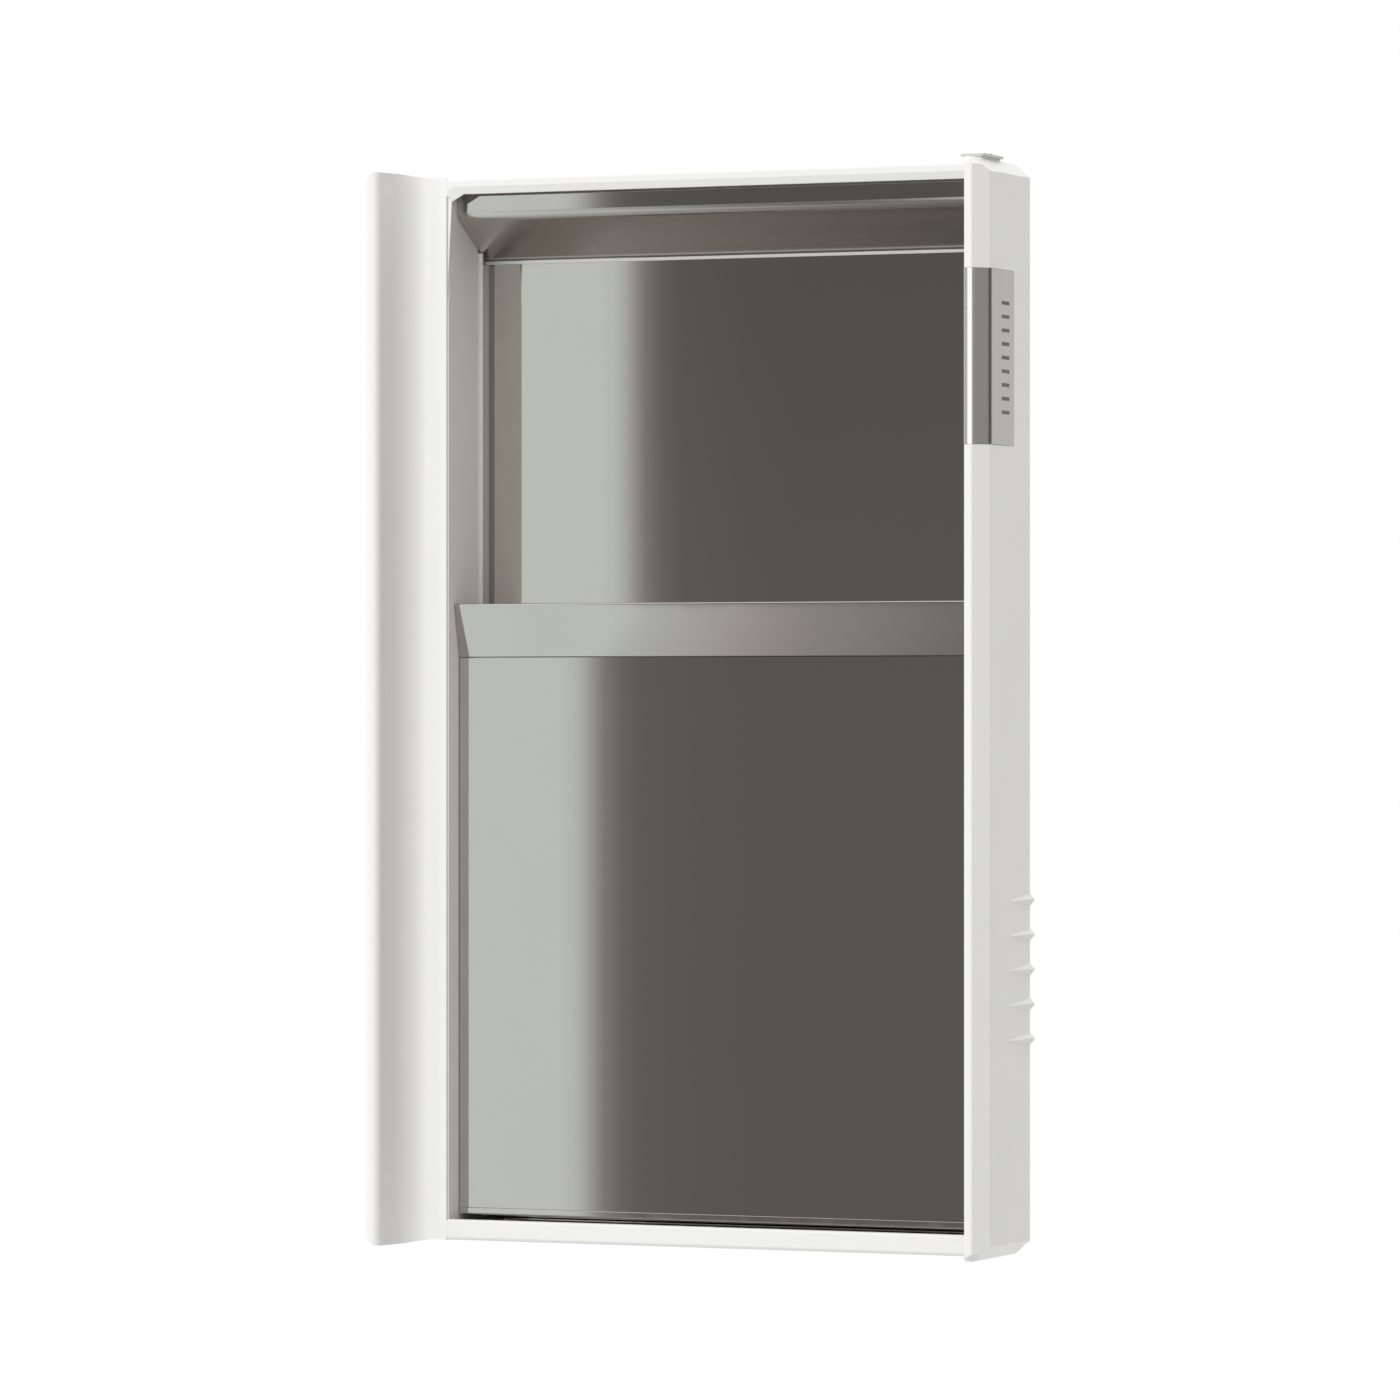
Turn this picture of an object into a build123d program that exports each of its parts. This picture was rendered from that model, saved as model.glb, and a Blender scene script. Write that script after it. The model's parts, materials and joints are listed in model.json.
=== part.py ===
from build123d import *
import math
import os

# Wall cabinet: a white moulded frame with a tall wing on the left and a ribbed grip post on the right
# holds a polished steel recess. The upper part of the recess is an open niche with a mirror back. The
# lower part is closed by a mirrored flap that drops forward about a pivot at its bottom edge.
#
# X runs to the right, Y into the wall and Z up, in millimetres. Y = 0 is the wall. Heights in this file
# are measured from the cabinet's middle; save() then lifts every piece so that the origin is the centre
# of the four wall screws.

# ---- driving dimensions ----
WIDTH = 400.0
HEIGHT = 660.0
DEPTH = 66.5  # wall to the front of the rails
RIGHT = WIDTH / 2
LEFT = -RIGHT
FRONT = -DEPTH

RAIL_TOP = 327.5  # the rails are a little shorter than the two uprights
OPEN_LEFT, OPEN_RIGHT = -160.0, 186.0
OPEN_TOP, OPEN_BOTTOM = 317.5, -314.8
RAIL_BEVEL = 4.4
BEVEL_DEEP = 2.0

WING_PROUD = 33.0
WING_THICK = 9.7
COVE_RADIUS = 26.5

POST_PROUD = 9.5
POST_STRIP = 5.0  # flat front face of the post, before its long chamfer
POST_CHAMFER = 9.0
END_CHAMFER_WIDE, END_CHAMFER_HIGH = 9.7, 8.6
SHELL = 2.6  # wall thickness of the mouldings

RIB_COUNT = 5
RIB_TOP = -115.5
RIB_PITCH = 21.0
RIB_HIGH, RIB_PROUD, RIB_LONG = 7.4, 3.1, 37.0

CLIP_LOW, CLIP_HIGH = 158.2, 263.2
CLIP_REAR = -28.7
CLIP_SUNK, CLIP_PROUD = 0.8, 0.3
CLIP_ROUNDING = 4.6

STEEL = 0.8  # sheet thickness of the recess and the flap
WALL_LEFT, WALL_RIGHT = OPEN_LEFT + STEEL, OPEN_RIGHT - STEEL  # steel faces of the recess
WALL_FRONT = FRONT + 1.6
FLANGE_BEND = 2.6  # centre line radius of the side walls' flanges beside the niche mirror
FLANGE_START = -22.9
FLANGE_TOP = 283.5
NICHE_FLOOR = 34.0
STRIP_FACE = FRONT + 13.3
CEILING_FRONT, CEILING_REAR = 303.8, 278.7
CEILING_BEND = 6.0
TRIM_LOW, TRIM_HIGH = 276.9, 278.8  # trim strip along the top of the niche mirror

GLASS_NICHE = 4.0
GLASS_FLAP = 3.0
NICHE_GLASS_FACE = -11.5

PANEL_REAR, PANEL_FACE = -3.5, -5.0  # back panel
PANEL_EDGE_GAP = 0.4
COMPARTMENT_FLOOR = -317.0

FLAP_GAP = 0.6
FLAP_LEFT, FLAP_RIGHT = WALL_LEFT + FLAP_GAP, WALL_RIGHT - FLAP_GAP
FLAP_FACE = FRONT + 16.0  # front of the flap's glass
TAPE = 0.8
TRAY_FACE = FLAP_FACE + GLASS_FLAP + TAPE
TRAY_REAR = TRAY_FACE + STEEL
HEM_BOTTOM, HEM_TOP = -312.8, -308.2
HEM_PROUD = 0.4
LIP_FOOT, LIP_TOP = 31.7, 64.8
LIP_LEAN = 7.3
SIDE_BAR = 1.2  # thickness of the stiffening bars along the flap's sides
BAR_REAR = -40.4
BAR_LOW, BAR_HIGH = -275.0, 25.0

PIVOT_Y, PIVOT_Z = -48.4, -310.5
PIVOT_RADIUS = 1.5
RUNNING = 0.05  # radial clearance of a turning fit
LOOSE = 0.1  # radial clearance of a fixed pin in a sheet

FLAP_OPEN_ANGLE = 75.0
STAY_RADIUS = 26.0
STAY_FIRST_ANGLE = 15.0  # angle of the stay pin behind the vertical, seen from the pivot
STAY_PIN_RADIUS = 2.0
STAY_SLOT_HALF = 2.3
STAY_LAND = 2.2
STAY_THICK = 1.5

SHELF_HEIGHTS = (-70.0, -190.0)
SHELF_FRONT = -39.5
SHELF_LIP = 6.0

WALL_SCREW_X = 130.0
WALL_SCREW_HEIGHTS = (20.0, -280.0)
WALL_SCREW_HOLE = 2.75
ORIGIN_HEIGHT = sum(WALL_SCREW_HEIGHTS) / 2  # height of the origin on the cabinet


# ---- helpers ----
def outline(*corners):
    """Closed face from corners (a, b) or (a, b, rounding radius)."""
    points = [corner[:2] for corner in corners]
    radii = [corner[2] if len(corner) > 2 else 0 for corner in corners]
    if any(radii):
        return make_face(FilletPolyline(*points, radius=radii, close=True))
    return make_face(Polyline(*points, close=True))


def along_x(face, x0, x1):
    """Face drawn in (Y, Z), extruded from x0 to x1."""
    plane = Plane(origin=(x0, 0, 0), x_dir=(0, 1, 0), z_dir=(1, 0, 0))
    return extrude(plane * face, x1 - x0, dir=(1, 0, 0))


def along_y(face, y0, y1):
    """Face drawn in (X, Z), extruded from y0 to y1."""
    plane = Plane(origin=(0, y1, 0), x_dir=(1, 0, 0), z_dir=(0, -1, 0))
    return extrude(plane * face, y1 - y0, dir=(0, -1, 0))


def along_z(face, z0, z1):
    """Face drawn in (X, Y), extruded from z0 to z1."""
    return extrude(Pos(0, 0, z0) * face, z1 - z0, dir=(0, 0, 1))


def block(x0, x1, y0, y1, z0, z1):
    return Pos((x0 + x1) / 2, (y0 + y1) / 2, (z0 + z1) / 2) * Box(x1 - x0, y1 - y0, z1 - z0)


def rod_x(radius, x0, x1, y, z):
    return Pos((x0 + x1) / 2, y, z) * Rot(0, 90, 0) * Cylinder(radius, x1 - x0)


def rod_y(radius, y0, y1, x, z):
    return Pos(x, (y0 + y1) / 2, z) * Rot(90, 0, 0) * Cylinder(radius, y1 - y0)


def rod_z(radius, z0, z1, x, y):
    return Pos(x, y, (z0 + z1) / 2) * Cylinder(radius, z1 - z0)


def half_space(point, normal):
    """Large solid on the side of the plane that the normal points to."""
    reach = 2 * HEIGHT
    plane = Plane(origin=point, z_dir=normal)
    return plane * Pos(0, 0, reach / 2) * Box(reach, reach, reach)


def folded(points, bend, thickness=STEEL):
    """Face of a bent sheet seen on edge: its centre line runs through the points."""
    line = FilletPolyline(*points, radius=bend)
    return trace(line, line_width=thickness)


def save(name, shape):
    placed = Pos(0, 0, -ORIGIN_HEIGHT) * shape
    solids = placed.solids()
    if len(solids) == 1:
        export_step(solids[0], f"parts/{name}.step")
    else:
        export_step(Compound(children=list(solids)), f"parts/{name}.step")


def group(shapes):
    """Separate solids that share a node."""
    return Compound(children=[solid for shape in shapes for solid in shape.solids()])


# ---- holes and fixings that several pieces share ----
FRAME_SCREW_DEPTHS = (-30.0, -12.0)
FRAME_SCREW_HEIGHTS = (321.0, -321.0)
FRAME_SCREW_RADIUS = 1.75
FRAME_SCREW_GRIP = 9.0
BOSS_HALF = 4.0
BOSS_LONG = 12.0

PANEL_SCREW_HEIGHTS = (296.0, 100.0, -100.0, -296.0)
PANEL_SCREW_LEFT, PANEL_SCREW_RIGHT = -180.0, 193.0
PANEL_SCREW_RADIUS = 1.5
PANEL_SCREW_GRIP = 14.0

SHELF_PIN_RADIUS = 2.5
SHELF_PIN_DEPTHS = (-33.0, -13.0)

STAY_PIN_Y = PIVOT_Y + STAY_RADIUS * math.sin(math.radians(STAY_FIRST_ANGLE))
STAY_PIN_Z = PIVOT_Z + STAY_RADIUS * math.cos(math.radians(STAY_FIRST_ANGLE))


def side_pin_holes(x0, x1):
    """Rods where pivot pin, stay pin and shelf pins pass through a side of the recess."""
    rods = [
        rod_x(PIVOT_RADIUS + LOOSE, x0, x1, PIVOT_Y, PIVOT_Z),
        rod_x(STAY_PIN_RADIUS + LOOSE, x0, x1, STAY_PIN_Y, STAY_PIN_Z),
    ]
    for height in SHELF_HEIGHTS:
        for depth in SHELF_PIN_DEPTHS:
            rods.append(rod_x(SHELF_PIN_RADIUS + LOOSE, x0, x1, depth, height - STEEL - SHELF_PIN_RADIUS))
    return rods


def frame_screw_holes(x0, x1):
    return [
        rod_x(FRAME_SCREW_RADIUS + LOOSE, x0, x1, depth, height)
        for height in FRAME_SCREW_HEIGHTS
        for depth in FRAME_SCREW_DEPTHS
    ]


# ---- white mouldings ----
def wing_column():
    """Left upright: a hollow column whose outer wall runs forward as the wing, with a cove between
    the wing and the front face."""
    wing_inner = LEFT + WING_THICK
    wing_front = FRONT - WING_PROUD
    section = outline(
        (LEFT, 0, 1.5),
        (LEFT, wing_front, 2.8),
        (wing_inner, wing_front, 5.8),
        (wing_inner, FRONT, COVE_RADIUS),
        (OPEN_LEFT, FRONT, 0.3),
        (OPEN_LEFT, 0),
    )
    corner, blend = 9.0, 14.0
    top = HEIGHT / 2
    front_view = outline(
        (LEFT, -top, corner),
        (wing_inner + 4.0, -top, blend),
        (wing_inner + 17.0, -RAIL_TOP, blend),
        (OPEN_LEFT, -RAIL_TOP),
        (OPEN_LEFT, RAIL_TOP),
        (wing_inner + 17.0, RAIL_TOP, blend),
        (wing_inner + 4.0, top, blend),
        (LEFT, top, corner),
    )
    body = along_z(section, -top, top) & along_y(front_view, wing_front - 1, 1)
    cavity = outline(
        (LEFT + SHELL, 1),
        (LEFT + SHELL, wing_front + 3.4),
        (wing_inner - SHELL, wing_front + 3.4),
        (wing_inner - SHELL, FRONT + SHELL, COVE_RADIUS + 2.0),
        (OPEN_LEFT - SHELL, FRONT + SHELL),
        (OPEN_LEFT - SHELL, 1),
    )
    cavity_end = RAIL_TOP - 3.0
    body -= along_z(cavity, -cavity_end, cavity_end)
    for height in PANEL_SCREW_HEIGHTS:
        body += block(LEFT + SHELL, OPEN_LEFT - SHELL, -58, PANEL_FACE, height - 1.25, height + 1.25)
        body += rod_y(4.5, -26, PANEL_FACE, PANEL_SCREW_LEFT, height)
        body -= rod_y(PANEL_SCREW_RADIUS + LOOSE, PANEL_FACE - PANEL_SCREW_GRIP - 1, 1, PANEL_SCREW_LEFT, height)
    # the inner wall stops at the back panel, which reaches across to the outer wall
    body -= block(LEFT + SHELL, OPEN_LEFT + 1, PANEL_FACE, 1, -cavity_end, cavity_end)
    for rod in side_pin_holes(OPEN_LEFT - 6, OPEN_LEFT + 1) + frame_screw_holes(OPEN_LEFT - 6, OPEN_LEFT + 1):
        body -= rod
    return body


def rail_bosses():
    """Blocks at both ends of a rail that take the frame screws, for the top rail."""
    low, high = 317.9, RAIL_TOP - 3.0
    ends = ((OPEN_LEFT, OPEN_LEFT + BOSS_LONG), (OPEN_RIGHT - BOSS_LONG, OPEN_RIGHT))
    return [
        block(x0, x1, depth - BOSS_HALF, depth + BOSS_HALF, low, high)
        for x0, x1 in ends
        for depth in FRAME_SCREW_DEPTHS
    ]


HEADER_SCREW_X = (-120.0, 13.0, 146.0)
HEADER_SCREW_Y = -46.0
HEADER_SCREW_RADIUS = 1.5

LIP_REAR = FRONT + 5.5  # both rails have a thick front lip
WEB_FACE, WEB_REAR = FRONT + 1.5, FRONT + 2.8
WEB_FOOT = 254.0
WEB_CORNER = ((OPEN_LEFT + 2.8, OPEN_TOP - 4.5), (OPEN_LEFT + 10.9, OPEN_TOP))
FACE_CORNER = 6.0


def opening_cutter():
    """Cuts the bevel of the top rail. The opening's corner is round on the front face and cut off
    straight at the back of the bevel."""
    steps = 6
    (left, low), (right, high) = WEB_CORNER
    bevel_line = OPEN_TOP + RAIL_BEVEL
    front_corner, rear_corner = [], []
    for step in range(steps + 1):
        turn = math.radians(90 * step / steps)
        front_corner.append((
            OPEN_LEFT + FACE_CORNER * (1 - math.cos(turn)), bevel_line - FACE_CORNER * (1 - math.sin(turn))
        ))
        share = step / steps
        rear_corner.append((left + (right - left) * share, low + (high - low) * share))
    reach, foot = OPEN_RIGHT + 1, OPEN_TOP - 20
    front = [(OPEN_LEFT, foot), *front_corner, (reach, bevel_line), (reach, foot)]
    rear = [(left, foot), *rear_corner, (reach, OPEN_TOP), (reach, foot)]
    faces = [
        Plane(origin=(0, y, 0), x_dir=(1, 0, 0), z_dir=(0, -1, 0)) * outline(*points)
        for y, points in ((FRONT, front), (FRONT + BEVEL_DEEP, rear))
    ]
    return loft(faces, ruled=True)


def top_rail():
    """Channel open towards the recess, with a bevelled front lip. A thin web runs from the lip's left
    end down the side of the opening and tapers away."""
    (left, low), (right, high) = WEB_CORNER
    channel = outline(
        (FRONT, OPEN_TOP),
        (FRONT, RAIL_TOP, 2.4),
        (0, RAIL_TOP, 1.2),
        (0, RAIL_TOP - 3.0),
        (LIP_REAR, RAIL_TOP - 3.0),
        (LIP_REAR, OPEN_TOP),
    )
    corner = outline((OPEN_LEFT, OPEN_TOP - 20), (left, OPEN_TOP - 20), (left, low), (right, high), (OPEN_LEFT, high))
    body = along_x(channel, OPEN_LEFT, OPEN_RIGHT) + along_y(corner, FRONT, WEB_REAR)
    body -= opening_cutter()
    body -= block(OPEN_LEFT - 1, left + 0.2, FRONT - 1, WEB_FACE, OPEN_TOP - 21, OPEN_TOP + RAIL_BEVEL - FACE_CORNER)
    web = outline((OPEN_LEFT, WEB_FOOT), (left, low), (left, OPEN_TOP), (OPEN_LEFT, OPEN_TOP))
    body += along_y(web, WEB_FACE, WEB_REAR)
    body -= along_y(outline((OPEN_LEFT, WEB_FOOT), (left + 0.1, WEB_FOOT), (left + 0.1, low)), FRONT - 1, LIP_REAR)
    for boss in rail_bosses():
        body += boss
    for rod in frame_screw_holes(OPEN_LEFT - 1, OPEN_LEFT + FRAME_SCREW_GRIP + 1):
        body -= rod
    for rod in frame_screw_holes(OPEN_RIGHT - FRAME_SCREW_GRIP - 1, OPEN_RIGHT + 1):
        body -= rod
    for x in HEADER_SCREW_X:
        body -= rod_z(HEADER_SCREW_RADIUS + LOOSE, RAIL_TOP - 4, RAIL_TOP - 0.8, x, HEADER_SCREW_Y)
    return body


FLOOR_RIB_X = (-110.0, -50.0, 13.0, 76.0, 136.0)


def bottom_rail():
    """Channel like the top rail, with a rounded lip and ribs that carry the compartment's floor."""
    section = outline(
        (FRONT, -RAIL_TOP, 2.4),
        (FRONT, OPEN_BOTTOM, 1.6),
        (LIP_REAR, OPEN_BOTTOM, 0.6),
        (LIP_REAR, -RAIL_TOP + 3.0),
        (0, -RAIL_TOP + 3.0),
        (0, -RAIL_TOP, 1.2),
    )
    body = along_x(section, OPEN_LEFT, OPEN_RIGHT)
    for boss in rail_bosses():
        body += mirror(boss, about=Plane.XY)
    for x in FLOOR_RIB_X:
        body += block(x - 1.2, x + 1.2, LIP_REAR, -8, -RAIL_TOP + 2.0, COMPARTMENT_FLOOR - STEEL)
    for rod in frame_screw_holes(OPEN_LEFT - 1, OPEN_LEFT + FRAME_SCREW_GRIP + 1):
        body -= rod
    for rod in frame_screw_holes(OPEN_RIGHT - FRAME_SCREW_GRIP - 1, OPEN_RIGHT + 1):
        body -= rod
    return body


def post_section(grow=0.0, rounding=1.5):
    """Plan of the right post, grown outwards by an even amount. Its front edge is the softer one."""
    miter = grow * math.tan(math.radians(22.5))
    front = FRONT - POST_PROUD - grow
    return outline(
        (OPEN_RIGHT - grow, 0),
        (OPEN_RIGHT - grow, front, 1.6 + grow),
        (OPEN_RIGHT + POST_STRIP + miter, front, rounding + 1.2 + grow),
        (RIGHT + grow, front + POST_CHAMFER + grow - miter, rounding + grow),
        (RIGHT + grow, 0, 1.5),
    )


def grip_rib(height):
    """Ridge on the outer face of the post that rises from nothing to full height at the back."""
    def ridge_at(y, scale):
        half, proud = RIB_HIGH / 2 * scale, RIB_PROUD * scale
        face = outline((RIGHT - 1.2, -half), (RIGHT, -half), (RIGHT + proud, 0, 0.9 * scale), (RIGHT, half),
                       (RIGHT - 1.2, half))
        plane = Plane(origin=(0, y, height), x_dir=(1, 0, 0), z_dir=(0, -1, 0))
        return plane * face
    return loft([ridge_at(-0.6, 1.0), ridge_at(-RIB_LONG, 0.05)], ruled=True)


PLATE_X0, PLATE_X1 = 176.6, 192.1
PLATE_Y0, PLATE_Y1 = -57.5, -24.2
PLATE_Z0, PLATE_Z1 = 331.3, 332.8
PLATE_SCREW_X, PLATE_SCREW_Y = 188.3, -41.0


def grip_post():
    """Right upright: hollow, chamfered on its outer front edge and its ends, with five grip ribs and
    a shallow seat for the steel saddle."""
    top = HEIGHT / 2
    post_front = FRONT - POST_PROUD
    body = along_z(post_section(), -top, top)
    for side in (1, -1):
        body -= half_space((RIGHT, 0, side * (top - END_CHAMFER_HIGH)), (END_CHAMFER_HIGH, 0, side * END_CHAMFER_WIDE))
        body -= half_space(
            (RIGHT - POST_CHAMFER / 2, post_front + POST_CHAMFER / 2, side * (top - 4.6)), (1, -1, side * 1.42)
        )
        body -= half_space((0, post_front, side * (top - 3.2)), (0, -1, side * 1.2))
    cavity_top, cavity_shoulder, cavity_step = 324.6, 320.2, 4.9
    cavity = outline(
        (OPEN_RIGHT + SHELL, -cavity_top),
        (RIGHT - SHELL - cavity_step, -cavity_top),
        (RIGHT - SHELL, -cavity_shoulder),
        (RIGHT - SHELL, cavity_shoulder),
        (RIGHT - SHELL - cavity_step, cavity_top),
        (OPEN_RIGHT + SHELL, cavity_top),
    )
    body -= along_y(cavity, FRONT + SHELL, 1)
    for height in PANEL_SCREW_HEIGHTS:
        body += block(OPEN_RIGHT + SHELL, RIGHT - SHELL, -40, PANEL_FACE, height - 4.5, height + 4.5)
        body -= rod_y(PANEL_SCREW_RADIUS + LOOSE, PANEL_FACE - PANEL_SCREW_GRIP - 1, 1, PANEL_SCREW_RIGHT, height)
    panel_top = RAIL_TOP - 3.0
    body -= block(OPEN_RIGHT - 1, RIGHT - SHELL, PANEL_FACE, 1, -panel_top, panel_top)
    for index in range(RIB_COUNT):
        body += grip_rib(RIB_TOP - index * RIB_PITCH)
    # seat of the steel saddle
    band = post_section(1.0) - post_section(-CLIP_SUNK)
    seat = along_z(band, CLIP_LOW - 0.2, CLIP_HIGH + 0.2) - block(0, RIGHT - 5, FRONT - 1, 1, -top, top)
    body -= seat - block(0, RIGHT + 9, CLIP_REAR + 0.2, 1, -top, top)
    # raised pad and screw hole under the cover plate
    body += block(OPEN_RIGHT + 0.4, RIGHT - END_CHAMFER_WIDE - 0.2, PLATE_Y0 + 1.5, PLATE_Y1 - 1.5, top - 1, PLATE_Z0)
    body -= rod_z(1.5 + LOOSE, top - 10, PLATE_Z1, PLATE_SCREW_X, PLATE_SCREW_Y)
    for rod in side_pin_holes(OPEN_RIGHT - 1, OPEN_RIGHT + 6) + frame_screw_holes(OPEN_RIGHT - 1, OPEN_RIGHT + 6):
        body -= rod
    return body


# ---- trim on the post ----
MARK_COUNT, MARK_PITCH = 9, 8.2
MARK_HALF_WIDE, MARK_HALF_HIGH = 6.5, 1.1
MARK_Y, MARK_DEEP, MARK_FILL = -43.0, 0.5, 0.35


def clip_marks(x0, x1):
    """Plain bars in a column on the saddle's outer face, in place of any mark."""
    middle = (CLIP_LOW + CLIP_HIGH) / 2
    heights = [middle + (index - (MARK_COUNT - 1) / 2) * MARK_PITCH for index in range(MARK_COUNT)]
    return [
        block(x0, x1, MARK_Y - MARK_HALF_WIDE, MARK_Y + MARK_HALF_WIDE, height - MARK_HALF_HIGH, height + MARK_HALF_HIGH)
        for height in heights
    ]


def badge_clip():
    """Steel saddle that wraps the post, with a column of sunk bars on its outer face."""
    band = post_section(CLIP_PROUD, CLIP_ROUNDING) - post_section(-CLIP_SUNK)
    body = along_z(band, CLIP_LOW, CLIP_HIGH)
    body -= block(0, RIGHT - 4.8, FRONT - 1.2, 1, CLIP_LOW - 1, CLIP_HIGH + 1)
    body -= block(0, RIGHT + 9, CLIP_REAR, 1, CLIP_LOW - 1, CLIP_HIGH + 1)
    rounding = 6.0
    side_view = outline(
        (FRONT - 20, CLIP_LOW), (CLIP_REAR, CLIP_LOW, rounding), (CLIP_REAR, CLIP_HIGH, rounding), (FRONT - 20, CLIP_HIGH)
    )
    body &= along_x(side_view, 0, RIGHT + 9)
    for mark in clip_marks(RIGHT + CLIP_PROUD - MARK_DEEP, RIGHT + 2):
        body -= mark
    return body


def clip_inlay():
    """Dark enamel in the saddle's sunk bars."""
    face = RIGHT + CLIP_PROUD - MARK_DEEP
    return group(clip_marks(face, face + MARK_FILL))


def top_cover_plate():
    plan = outline((PLATE_X0, PLATE_Y0, 1.5), (PLATE_X1, PLATE_Y0, 1.5), (PLATE_X1, PLATE_Y1, 1.5), (PLATE_X0, PLATE_Y1, 1.5))
    plate = along_z(plan, PLATE_Z0, PLATE_Z1)
    return plate - rod_z(1.5 + LOOSE, PLATE_Z0 - 1, PLATE_Z1 + 1, PLATE_SCREW_X, PLATE_SCREW_Y)


def cover_plate_screw():
    shaft = rod_z(1.5, PLATE_Z1 - 10, PLATE_Z1, PLATE_SCREW_X, PLATE_SCREW_Y)
    head = rod_z(2.7, PLATE_Z1, PLATE_Z1 + 0.6, PLATE_SCREW_X, PLATE_SCREW_Y)
    slot = block(PLATE_SCREW_X - 3, PLATE_SCREW_X + 3, PLATE_SCREW_Y - 0.35, PLATE_SCREW_Y + 0.35,
                 PLATE_Z1 + 0.25, PLATE_Z1 + 2)
    return shaft + head - slot


# ---- steel recess ----
def wall(face, shell_side, inward):
    """Side wall of the recess. Below the niche floor it runs straight back to the panel; above it, a
    small flange turns inwards in front of the mirror. inward is +1 for the left wall, -1 for the right."""
    low, high = COMPARTMENT_FLOOR - STEEL, OPEN_TOP - 0.2
    x0, x1 = sorted((face, shell_side))
    lower = block(x0, x1, WALL_FRONT, PANEL_FACE, low, NICHE_FLOOR)
    upper = block(x0, x1, WALL_FRONT, FLANGE_START, NICHE_FLOOR, high)
    middle = (face + shell_side) / 2
    bend_end = FLANGE_START + FLANGE_BEND
    plan = folded(
        [(middle, FLANGE_START - 1), (middle, bend_end), (middle + inward * (FLANGE_BEND + 0.01), bend_end)], FLANGE_BEND
    )
    body = lower + upper + along_z(plan, NICHE_FLOOR, FLANGE_TOP)
    body -= block(x0 - 1, x1 + 1, FRONT, LIP_REAR + 0.2, low - 1, OPEN_BOTTOM + 0.1)
    for rod in side_pin_holes(x0 - 1, x1 + 1):
        body -= rod
    return body


def wall_left():
    """The left wall also makes room for the top rail's tapering web and rounded corner."""
    body = wall(WALL_LEFT, OPEN_LEFT, 1)
    body -= block(OPEN_LEFT - 1, WALL_LEFT + 1, FRONT, WEB_REAR + 0.1, WEB_FOOT - 1, OPEN_TOP)
    return body - block(OPEN_LEFT - 1, WALL_LEFT + 1, FRONT, LIP_REAR + 0.1, OPEN_TOP - 1.8, OPEN_TOP)


def wall_right():
    return wall(WALL_RIGHT, OPEN_RIGHT, -1)


LINER_SIDE_GAP = 0.2


STRIP_LINE = STRIP_FACE + STEEL / 2  # centre line of the header's upright strip
SEAM = CEILING_FRONT + 3.5  # height where header and ceiling meet


def header_panel():
    """Polished sheet with a fold under the top rail and an upright strip."""
    fold_z = RAIL_TOP - 3.0 - STEEL / 2
    side = folded([(-40.0, fold_z), (STRIP_LINE, fold_z), (STRIP_LINE, SEAM)], 1.2)
    body = along_x(side, WALL_LEFT + LINER_SIDE_GAP, WALL_RIGHT - LINER_SIDE_GAP)
    for x in HEADER_SCREW_X:
        body -= rod_z(HEADER_SCREW_RADIUS + LOOSE, RAIL_TOP - 6, RAIL_TOP, x, HEADER_SCREW_Y)
    return body


def niche_ceiling():
    """Satin sheet that curves back from the header and slopes down to the niche mirror."""
    rear = (NICHE_GLASS_FACE - 0.5, CEILING_REAR + 0.9)
    side = folded([(STRIP_LINE, SEAM), (STRIP_LINE, CEILING_FRONT), rear], CEILING_BEND)
    return along_x(side, WALL_LEFT + LINER_SIDE_GAP, WALL_RIGHT - LINER_SIDE_GAP)


CATCH_X, CATCH_HALF = 12.0, 20.0
CATCH_RIVET_REACH = 24.5
CATCH_Y0, CATCH_Y1 = -41.0, -22.0


def niche_shelf():
    """Floor of the niche and roof of the compartment, with a front flange and two side flanges."""
    half = STEEL / 2
    side = folded([(-43.0, 26.0), (-43.0, NICHE_FLOOR - half), (PANEL_FACE - 0.1, NICHE_FLOOR - half)], 1.2)
    x0, x1 = WALL_LEFT + LINER_SIDE_GAP, WALL_RIGHT - LINER_SIDE_GAP
    body = along_x(side, x0, x1)
    for a, b in ((x0, x0 + STEEL), (x1 - STEEL, x1)):
        body += block(a, b, -41.5, -6.0, 26.0, NICHE_FLOOR - half)
    for x in (CATCH_X - CATCH_RIVET_REACH, CATCH_X + CATCH_RIVET_REACH):
        body -= rod_z(1.5 + LOOSE, NICHE_FLOOR - 2, NICHE_FLOOR + 1, x, (CATCH_Y0 + CATCH_Y1) / 2)
    return body


def compartment_floor():
    half = STEEL / 2
    side = folded(
        [
            (FRONT + 6.1, OPEN_BOTTOM - 0.6),
            (FRONT + 6.1, COMPARTMENT_FLOOR - half),
            (PANEL_FACE - 0.6, COMPARTMENT_FLOOR - half),
            (PANEL_FACE - 0.6, COMPARTMENT_FLOOR + 7),
        ],
        1.0,
    )
    return along_x(side, WALL_LEFT + LINER_SIDE_GAP, WALL_RIGHT - LINER_SIDE_GAP)


def inner_shelf(height):
    half = STEEL / 2
    side = folded(
        [
            (SHELF_FRONT + half, height + SHELF_LIP),
            (SHELF_FRONT + half, height - half),
            (PANEL_FACE - 0.9, height - half),
            (PANEL_FACE - 0.9, height + 4),
        ],
        1.0,
    )
    return along_x(side, WALL_LEFT + 0.6, WALL_RIGHT - 0.6)


def shelf_pins():
    pins = []
    for height in SHELF_HEIGHTS:
        for depth in SHELF_PIN_DEPTHS:
            z = height - STEEL - SHELF_PIN_RADIUS
            pins.append(rod_x(SHELF_PIN_RADIUS, OPEN_LEFT - SHELL, WALL_LEFT + 7, depth, z))
            pins.append(rod_x(SHELF_PIN_RADIUS, WALL_RIGHT - 7, OPEN_RIGHT + SHELL, depth, z))
    return group(pins)


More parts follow.
